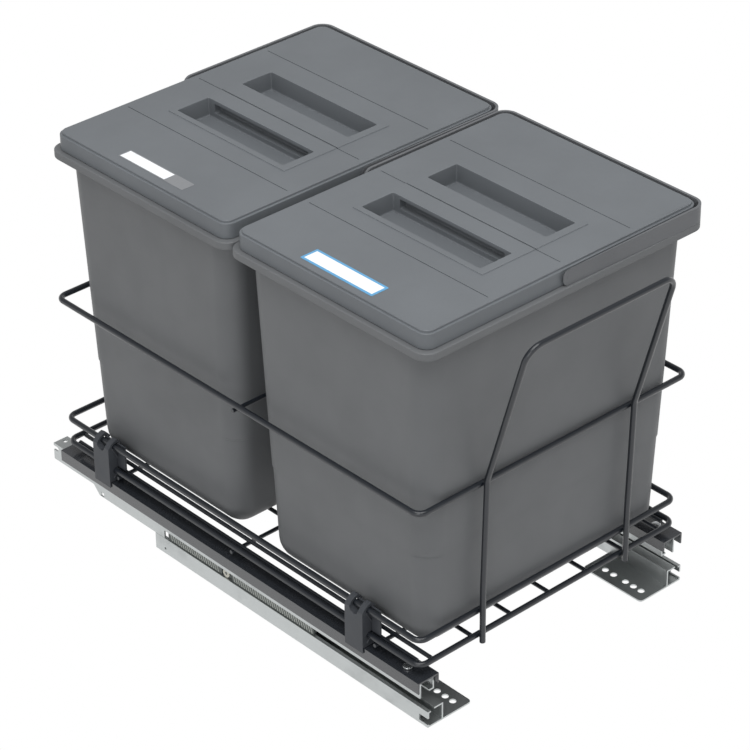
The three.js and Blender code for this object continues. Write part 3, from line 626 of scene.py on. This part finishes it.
def lid_moulding():
    """The front lid: a skirt, a shoulder and a panel, then rib, field, pockets and grooves."""
    low, high = span("front_lid")
    centre = (low + high) / 2
    half = (high - low) / 2
    top = high.z
    panel = top - FIELD_RISE
    shoulder = panel - LID_STEP
    bottom = shoulder - LID_SKIRT
    rim_half = (span("front_bin")[1] - span("front_bin")[0]) / 2
    rib = [part - RIM_OVERHANG - BIN_WALL - LID_RIB_PLAY for part in (rim_half.x, rim_half.y)]
    rib_corner = BIN_CORNER - BIN_WALL - LID_RIB_PLAY
    lid = raised_block("front_lid_moulding", centre, half, bottom, shoulder, LID_CORNER)
    pick(lid, "FACE", lambda place, normal: normal.z > 0.9)
    bpy.ops.mesh.inset(thickness=LID_STEP_INSET)
    draw_out(Vector((0, 0, LID_STEP)))
    leave_edit_mode()
    combined(lid, "DIFFERENCE", [raised_block(
        "skirt_hollow", centre, (half.x - LID_WALL, half.y - LID_WALL), bottom - MM,
        shoulder - LID_WALL, LID_CORNER - LID_WALL)])
    combined(lid, "UNION", [raised_block("rib", centre, rib, low.z, shoulder - MM, rib_corner)])
    combined(lid, "DIFFERENCE", [raised_block(
        "rib_hollow", centre, (rib[0] - LID_RIB, rib[1] - LID_RIB), low.z - MM,
        panel - LID_WALL, rib_corner - LID_RIB)])
    grip_housing, grip_hollow = pocket_blocks(centre, GRIP_POCKET, top, True)
    plain_housing, plain_hollow = pocket_blocks(centre, PLAIN_POCKET, top, False)
    field = block("field", (centre.x - FIELD["half"], centre.y + FIELD["front"], panel - MM),
                  (centre.x + FIELD["half"], centre.y + FIELD["rear"], top))
    combined(lid, "UNION", [field, *grip_housing, *plain_housing])
    combined(lid, "DIFFERENCE", [*grip_hollow, *plain_hollow])
    panel_half = (half.x - LID_STEP_INSET, half.y - LID_STEP_INSET)
    reach = panel_half[1] - GROOVE["inset"]
    grooves = [block("groove", (centre.x + x - GROOVE["width"] / 2, centre.y - reach,
                                panel - GROOVE["depth"]),
                     (centre.x + x + GROOVE["width"] / 2, centre.y + reach, top + MM))
               for x in (-GROOVE["apart"], 0, GROOVE["apart"])]
    combined(lid, "DIFFERENCE", grooves)
    soften(lid, bottom, centre, half, LID_CORNER, LID_EDGE)
    soften(lid, shoulder, centre, half, LID_CORNER, LID_EDGE)
    soften(lid, panel, centre, panel_half, LID_CORNER - LID_STEP_INSET, LID_EDGE)
    field_middle = Vector((centre.x, centre.y + (FIELD["front"] + FIELD["rear"]) / 2, 0))
    soften(lid, top, field_middle, (FIELD["half"], (FIELD["rear"] - FIELD["front"]) / 2), 0,
           FIELD_EDGE)
    for sides in (GRIP_POCKET, PLAIN_POCKET):
        middle = Vector((centre.x + sum(sides) / 2, centre.y, 0))
        soften(lid, top, middle, ((sides[1] - sides[0]) / 2, POCKET["half"]), POCKET["corner"],
               FIELD_EDGE)
    smooth(lid)
    rear = copied(lid, "rear_lid_moulding", Vector((0, span("rear_lid")[0].y - low.y, 0)))
    finish_piece(lid, "front_lid", LID_PLASTIC, "lid_plastic", "front_lid")
    finish_piece(rear, "rear_lid", LID_PLASTIC, "lid_plastic", "rear_lid")


def label_sticker(end, edge, field, start):
    low, high = span(f"{end}_label")
    foot = low.z - GAP
    piece = block(f"{end}_sticker", (low.x, low.y, foot), (high.x, high.y, foot + LABEL_THICKNESS))
    pick(piece, "EDGE", lambda a, b: abs(a.z - b.z) > LABEL_THICKNESS / 2)
    bpy.ops.mesh.bevel(offset=LABEL_CORNER, segments=4, affect="EDGES")
    leave_edit_mode()
    round_edges(piece, 0.06 * MM, 1)
    smooth(piece)
    middle = (low + high) / 2
    film = label_film(f"{end}_label_film", middle, (high - low) / 2, edge, field, start)
    return finish_piece(piece, f"{end}_lid", film, "label_film", f"{end}_label")


def bail_moulding(end):
    piece = refined(f"{end}_bail", 0.5 * MM, 2, f"{end}_bail_moulding")
    return finish_piece(piece, f"{end}_bail", BAIL_PLASTIC, "bail_plastic", f"{end}_bail")


for bin_end in ("front", "rear"):
    bin_moulding(bin_end)
    bail_moulding(bin_end)
lid_moulding()
label_sticker("front", colour(92, 160, 205), 0.74, 0)
label_sticker("rear", colour(128, 130, 133), 0.84, 0.28)


# ------------------------------------------------------------------ wires

def corner_arc(before, corner, after, radius):
    """Where a bend starts and ends, its middle, its axis and its turn."""
    back = (before - corner).normalized()
    on = (after - corner).normalized()
    half = back.angle(on) / 2
    middle = corner + (back + on).normalized() * radius / math.sin(half)
    reach = radius / math.tan(half)
    axis = (-back).cross(on).normalized()
    return corner + back * reach, corner + on * reach, middle, axis, math.pi - 2 * half


def sweep(name, corners, diameter, closed=False, radius=LOOP_BEND):
    """A round wire: a disc or ring drawn out straight and spun round each corner."""
    corners = [Vector(corner) for corner in corners]
    start = corners[0]
    heading = (corners[1] - start).normalized()
    leave_edit_mode()
    bpy.ops.object.select_all(action="DESELECT")
    bpy.ops.mesh.primitive_circle_add(
        vertices=WIRE_SIDES, radius=diameter / 2, fill_type="NOTHING" if closed else "NGON",
        location=start, rotation=heading.to_track_quat("Z", "Y").to_euler())
    piece = named(name)
    pick(piece, "POINT" if closed else "FACE", everything)
    here = start
    for i in range(1, len(corners) - 1):
        first, last, middle, axis, turn = corner_arc(
            corners[i - 1], corners[i], corners[i + 1], radius)
        draw_out(first - here)
        steps = max(2, math.ceil(BEND_STEPS * turn / (math.pi / 2)))
        bpy.ops.mesh.spin(steps=steps, angle=-turn, center=middle, axis=axis)
        here = last
    draw_out(corners[-1] - here)
    pick(piece, "POINT", everything)
    bpy.ops.mesh.remove_doubles(threshold=0.02 * MM)
    bpy.ops.mesh.normals_make_consistent(inside=False)
    leave_edit_mode()
    if not closed:
        round_edges(piece, 0.5 * MM, 2, 60)
    smooth(piece, 40)
    return piece


def wire_loop(node):
    low, high = span(node)
    inset = LOOP_WIRE / 2
    z = (low.z + high.z) / 2
    left, right = low.x + inset, high.x - inset
    front, rear = low.y + inset, high.y - inset
    ring = [(0, front, z), (right, front, z), (right, rear, z), (left, rear, z),
            (left, front, z), (0, front, z)]
    piece = sweep(f"{node}_wire", ring, LOOP_WIRE, closed=True)
    finish_piece(piece, "carriage", COATED_WIRE, "coated_wire", node)
    return {"left": left, "right": right, "front": front, "rear": rear, "z": z}


def straight_wire(node, axis):
    """A thin wire that lies along one axis of its node's box."""
    low, high = span(node)
    middle = (low + high) / 2
    start, stop = middle.copy(), middle.copy()
    start[axis], stop[axis] = low[axis], high[axis]
    piece = sweep(f"{node}_rod", [start, stop], THIN_WIRE)
    finish_piece(piece, "carriage", COATED_WIRE, "coated_wire", node)
    return middle


lower_loop = wire_loop("lower_base_loop")
upper_loop = wire_loop("upper_base_loop")
mid_loop = wire_loop("mid_loop")
floor_rods = [straight_wire(f"floor_wire_{i}", 1) for i in range(1, 8)]
side_rods = [straight_wire(f"{side}_side_rod", 1) for side in ("left", "right")]
cross_rods = [straight_wire(f"cross_wire_{i}", 0) for i in range(1, 4)]
mid_rod = straight_wire("mid_cross_wire", 0)

beside = LOOP_WIRE + GAP
knee = lower_loop["z"] + 50 * MM


def pull_handle():
    low, high = span("pull_handle")
    width = (high.x - low.x - LOOP_WIRE) / 2
    taper = 2 * MM
    foot = low.z
    front = lower_loop["front"] - beside
    crossing = mid_loop["front"] - beside
    bar = Vector((0, low.y + LOOP_WIRE / 2, high.z - LOOP_WIRE / 2))
    leg = [(width, front, foot), (width, front, knee), (width, crossing, mid_loop["z"] + LOOP_WIRE),
           (width - taper, bar.y, bar.z)]
    other = [(-x, y, z) for x, y, z in leg]
    piece = sweep("pull_handle_wire", other + leg[::-1], LOOP_WIRE, radius=HANDLE_BEND)
    return finish_piece(piece, "carriage", COATED_WIRE, "coated_wire", "pull_handle")


def rear_upright(side):
    low, high = span(f"{side}_rear_upright")
    x = (low.x + high.x) / 2
    places = [(x, lower_loop["rear"] + beside, low.z), (x, lower_loop["rear"] + beside, knee),
              (x, mid_loop["rear"] + beside, high.z)]
    piece = sweep(f"{side}_rear_upright_wire", places, LOOP_WIRE, radius=HANDLE_BEND)
    return finish_piece(piece, "carriage", COATED_WIRE, "coated_wire", f"{side}_rear_upright")


pull_handle()
rear_upright("left")
rear_upright("right")


# ------------------------------------------------------------------ weld beads

def weld_bead():
    """A small flattened bead of weld, covered by the coat."""
    leave_edit_mode()
    bpy.ops.object.select_all(action="DESELECT")
    bpy.ops.mesh.primitive_uv_sphere_add(segments=10, ring_count=6, radius=1.5 * MM)
    bead = named("weld_bead")
    pick(bead, "POINT", lambda place: place.z > 0)
    bpy.ops.transform.resize(value=(1, 1, 0.7), center_override=(0, 0, 0))
    leave_edit_mode()
    smooth(bead, 60)
    return bead


def weld_places():
    """Where two wires of the basket cross or meet."""
    touching = THIN_WIRE / 2 + GAP / 2
    places = []
    for rod in floor_rods + side_rods:
        for cross in cross_rods:
            places.append(Vector((rod.x, cross.y, cross.z + touching)))
    for rod in floor_rods:
        for y in (lower_loop["front"], lower_loop["rear"]):
            inward = 1 if y < 0 else -1
            places.append(Vector((rod.x, y + inward * LOOP_WIRE / 2, rod.z)))
    for cross in cross_rods:
        for x in (lower_loop["left"], lower_loop["right"]):
            places.append(Vector((x, cross.y, cross.z + touching)))
    for x in (mid_loop["left"], mid_loop["right"]):
        places.append(Vector((x, mid_rod.y, mid_rod.z + touching)))
    handle = span("pull_handle")[1].x - LOOP_WIRE / 2
    for side in (-1, 1):
        for loop in (lower_loop, upper_loop, mid_loop):
            places.append(Vector((side * handle, loop["front"] - beside / 2, loop["z"])))
            places.append(Vector((side * handle, loop["rear"] + beside / 2, loop["z"])))
    return places


def basket_welds():
    bead = weld_bead()
    places = weld_places()
    beads = [copied(bead, "bead", place) for place in places]
    bpy.data.objects.remove(bead)
    piece = merged("basket_welds", beads)
    return finish_piece(piece, "carriage", COATED_WIRE, "coated_wire")


basket_welds()


# ------------------------------------------------------------------ runners and brackets

def cage_ribs(side):
    """Slanted ribs along the outer face of a lower cage, in a lighter copy of the cage plastic: a
    painted highlight on the ribs.
    """
    low, high = span(f"{side}_lower_cage")
    sign = 1 if side == "right" else -1
    face = high.x if sign > 0 else -low.x
    pitch, rib, depth, slant = 3.3 * MM, 1.1 * MM, 0.5 * MM, 2.2 * MM
    first = block("rib", (sign * face - depth / 2, low.y + 1.2 * MM, low.z + 0.9 * MM),
                  (sign * face + depth / 2, low.y + 1.2 * MM + rib, high.z - 0.9 * MM))
    pick(first, "FACE", lambda place, normal: normal.z > 0.5)
    bpy.ops.transform.translate(value=(0, slant, 0))
    leave_edit_mode()
    count = int((high.y - low.y - slant - 2 * rib) / pitch)
    roller_low, roller_high = span(f"{side}_roller")
    ribs = []
    for i in range(count):
        near = low.y + 1.2 * MM + i * pitch
        if near + slant + rib < roller_low.y - 4 * MM or near > roller_high.y + 4 * MM:
            ribs.append(copied(first, "rib", Vector((0, i * pitch, 0))))
    bpy.data.objects.remove(first)
    piece = merged(f"{side}_cage_ribs", ribs)
    smooth(piece)
    # the lighter rib colour is a painted highlight, not a different plastic
    return finish_piece(piece, f"{side}_lower_cage", RIB_PAINTED_HIGHLIGHT_PLASTIC, "cage_plastic")


def bracket_ridge(stem, side):
    """A thin moulded ridge down the front face of a bracket."""
    low, high = span(f"{stem}_bracket")
    outer, inward = (high.x, -1) if side == "right" else (low.x, 1)
    path = [(outer + inward * across, low.y, low.z + up) for across, up in RIDGE]
    piece = sweep(f"{stem}_bracket_ridge", path, RIDGE_WIDTH, radius=2.5 * MM)
    return finish_piece(piece, "carriage", BRACKET_PLASTIC, "bracket_plastic")


REFINED = [
    ("fixed_rail", "fixed_rails", ZINC, "zinc_plate", 0.3),
    ("intermediate", "{side}_intermediate", ZINC, "zinc_plate", 0.3),
    ("lower_cage", "{side}_lower_cage", CAGE_PLASTIC, "cage_plastic", 0.2),
    ("roller", "{side}_lower_cage", ROLLER_PLASTIC, "roller_plastic", 0.3),
    ("upper_cage", "{side}_upper_cage", CAGE_PLASTIC, "cage_plastic", 0.2),
    ("channel", "carriage", CHANNEL_PAINT, "channel_paint", 0.5),
    ("channel_screw", "carriage", STEEL, "bright_steel", 0.15),
]
for side_name in ("left", "right"):
    for part, rides_on, coat, coat_slot, edge_round in REFINED:
        node_name = f"{side_name}_{part}"
        finish_piece(refined(node_name, edge_round * MM), rides_on.format(side=side_name), coat,
                     coat_slot, node_name)
    cage_ribs(side_name)
    for bin_end in ("front", "rear"):
        stem = f"{bin_end}_{side_name}"
        finish_piece(refined(f"{stem}_bracket", 0.5 * MM), "carriage", BRACKET_PLASTIC,
                     "bracket_plastic", f"{stem}_bracket")
        bracket_ridge(stem, side_name)
        finish_piece(refined(f"{stem}_clip", 0.25 * MM), "carriage", BRACKET_PLASTIC,
                     "bracket_plastic", f"{stem}_clip")
        finish_piece(refined(f"{stem}_clip_screw", 0.15 * MM), "carriage", STEEL,
                     "bright_steel", f"{stem}_clip_screw")


# ------------------------------------------------------------------ floor, light and camera

def lay_floor():
    leave_edit_mode()
    bpy.ops.object.select_all(action="DESELECT")
    bpy.ops.mesh.primitive_plane_add(size=40, location=(0, 0, -0.2 * MM))
    floor = named("floor")
    paint = Finish("floor_paint", Roughness=0.9)
    paint.shader.inputs["Base Color"].default_value = (0.42, 0.42, 0.42, 1)
    paint.shader.inputs["Specular IOR Level"].default_value = 0.0
    rays = paint.node("ShaderNodeLightPath", output="Is Camera Ray")
    glossy = paint.node("ShaderNodeLightPath", output="Is Glossy Ray")
    through = paint.node("ShaderNodeLightPath", output="Is Transmission Ray")
    seen = rays + glossy + through
    glow = paint.node("ShaderNodeEmission", None, {"Color": (1, 1, 1, 1), "Strength": 1.0},
                      "Emission")
    surface = Value(paint, paint.shader.outputs["BSDF"])
    mixed = paint.node("ShaderNodeMixShader", None, {0: seen, 1: surface, 2: glow})
    output = paint.tree.nodes["Material Output"]
    paint.tree.links.new(mixed.socket, output.inputs["Surface"])
    floor.data.materials.append(paint.material)


def light_world():
    """Even light, a white backdrop and, in reflections, a bright horizon under a dark ceiling."""
    world = bpy.data.worlds.new("studio")
    bpy.context.scene.world = world
    world.use_nodes = True
    tree = world.node_tree

    def blend(factor, low, high, start=0.0, stop=1.0):
        node = tree.nodes.new("ShaderNodeMapRange")
        for name, value in (("From Min", start), ("From Max", stop), ("To Min", low),
                            ("To Max", high)):
            if isinstance(value, float):
                node.inputs[name].default_value = value
            else:
                tree.links.new(value, node.inputs[name])
        tree.links.new(factor, node.inputs["Value"])
        return node.outputs[0]

    rays = tree.nodes.new("ShaderNodeLightPath").outputs
    direction = tree.nodes.new("ShaderNodeSeparateXYZ")
    tree.links.new(tree.nodes.new("ShaderNodeTexCoord").outputs["Generated"], direction.inputs[0])
    mirrored = blend(direction.outputs["Z"], 1.0, CEILING_GLOW, 0.08, 0.45)
    lit = blend(rays["Is Glossy Ray"], AMBIENT, mirrored)
    strength = blend(rays["Is Camera Ray"], lit, 1.0)
    background = tree.nodes["Background"]
    background.inputs["Color"].default_value = (1, 1, 1, 1)
    tree.links.new(strength, background.inputs["Strength"])


def softbox(name, place, aim, size, power):
    lamp = bpy.data.lights.new(name, "AREA")
    lamp.shape = "DISK"
    lamp.size = size
    lamp.energy = power
    holder = bpy.data.objects.new(name, lamp)
    holder.location = place
    holder.rotation_euler = (Vector(aim) - Vector(place)).to_track_quat("-Z", "Y").to_euler()
    bpy.context.scene.collection.objects.link(holder)


def place_camera():
    turn, rise, roll = (math.radians(angle) for angle in (CAMERA_TURN, CAMERA_RISE, CAMERA_ROLL))
    back = Vector((math.sin(turn) * math.cos(rise), -math.cos(turn) * math.cos(rise),
                   math.sin(rise)))
    level = Vector((math.cos(turn), math.sin(turn), 0))
    upright = back.cross(level)
    right = level * math.cos(roll) + upright * math.sin(roll)
    up = upright * math.cos(roll) - level * math.sin(roll)
    lens = bpy.data.cameras.new("photo_camera")
    lens.sensor_width = SENSOR
    lens.lens = FOCAL_PIXELS * SENSOR / PHOTO_PIXELS
    lens.shift_x = (PHOTO_PIXELS / 2 - PRINCIPAL_PIXEL) / PHOTO_PIXELS
    lens.clip_end = 100
    camera = bpy.data.objects.new("photo_camera", lens)
    turned = Matrix((right, up, back)).transposed().to_4x4()
    camera.matrix_world = Matrix.Translation(CAMERA_PLACE) @ turned
    bpy.context.scene.collection.objects.link(camera)
    bpy.context.scene.camera = camera


lay_floor()
light_world()
softbox("overhead", (-0.5, -0.6, 2.4), (0, 0, 0.2), 2.2, 38)
softbox("front_left", (-2.2, -1.6, 1.3), (0, 0, 0.2), 1.6, 14)
place_camera()
bpy.context.scene.view_settings.view_transform = "Standard"
